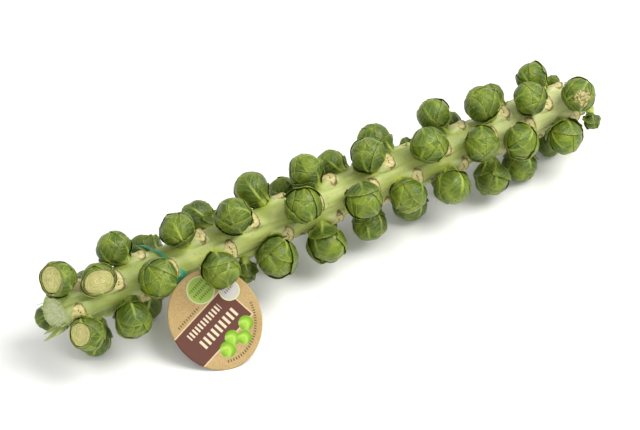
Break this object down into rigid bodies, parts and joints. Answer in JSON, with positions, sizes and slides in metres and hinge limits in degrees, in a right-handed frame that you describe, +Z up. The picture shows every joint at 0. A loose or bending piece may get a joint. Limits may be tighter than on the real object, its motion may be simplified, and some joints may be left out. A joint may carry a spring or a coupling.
{
  "type": "brussels sprout stalk",
  "caption": "Cut stalk of brussels sprouts lying on its side: a stout green stem with round sprouts spiralling round it, and a plain egg-shaped card tag on a plastic band.",
  "frame": {"origin": "under the middle of the whole stalk's box, on the surface it lies on", "axes": "+X along the stem towards its root end, -Y the side the card tag leans on, +Z up"},
  "size_m": [0.5734, 0.1464, 0.1048],
  "materials": {
    "stem_skin": "smooth waxy pale green skin of a woody stem, with beige leaf scars",
    "sprout_leaf": "waxy green leaves with paler veins",
    "card": "uncoated brown card with a plain printed band and spots",
    "band_plastic": "thin smooth teal plastic"
  },
  "bodies": {
    "root": {"stem": "stem_skin", "sprout_01": "sprout_leaf", "sprout_02": "sprout_leaf", "sprout_03": "sprout_leaf", "sprout_04": "sprout_leaf", "sprout_05": "sprout_leaf", "sprout_06": "sprout_leaf", "sprout_07": "sprout_leaf", "sprout_08": "sprout_leaf", "sprout_09": "sprout_leaf", "sprout_10": "sprout_leaf", "sprout_11": "sprout_leaf", "sprout_12": "sprout_leaf", "sprout_13": "sprout_leaf", "sprout_14": "sprout_leaf", "sprout_15": "sprout_leaf", "sprout_16": "sprout_leaf", "sprout_17": "sprout_leaf", "sprout_18": "sprout_leaf", "sprout_19": "sprout_leaf", "sprout_20": "sprout_leaf", "sprout_21": "sprout_leaf", "sprout_22": "sprout_leaf", "sprout_23": "sprout_leaf", "sprout_24": "sprout_leaf", "sprout_25": "sprout_leaf", "sprout_26": "sprout_leaf", "sprout_27": "sprout_leaf", "sprout_28": "sprout_leaf", "sprout_29": "sprout_leaf", "sprout_30": "sprout_leaf", "sprout_31": "sprout_leaf", "sprout_32": "sprout_leaf", "sprout_33": "sprout_leaf", "sprout_34": "sprout_leaf", "sprout_35": "sprout_leaf", "sprout_36": "sprout_leaf", "sprout_37": "sprout_leaf", "sprout_38": "sprout_leaf", "sprout_39": "sprout_leaf", "sprout_40": "sprout_leaf", "sprout_41": "sprout_leaf", "sprout_42": "sprout_leaf", "sprout_43": "sprout_leaf", "sprout_44": "sprout_leaf", "sprout_45": "sprout_leaf", "sprout_46": "sprout_leaf", "sprout_47": "sprout_leaf", "sprout_48": "sprout_leaf", "sprout_49": "sprout_leaf", "sprout_50": "sprout_leaf", "sprout_51": "sprout_leaf", "sprout_52": "sprout_leaf", "sprout_53": "sprout_leaf", "sprout_55": "sprout_leaf", "sprout_56": "sprout_leaf", "sprout_57": "sprout_leaf", "tag": "card", "band": "band_plastic"}
  },
  "joints": []
}
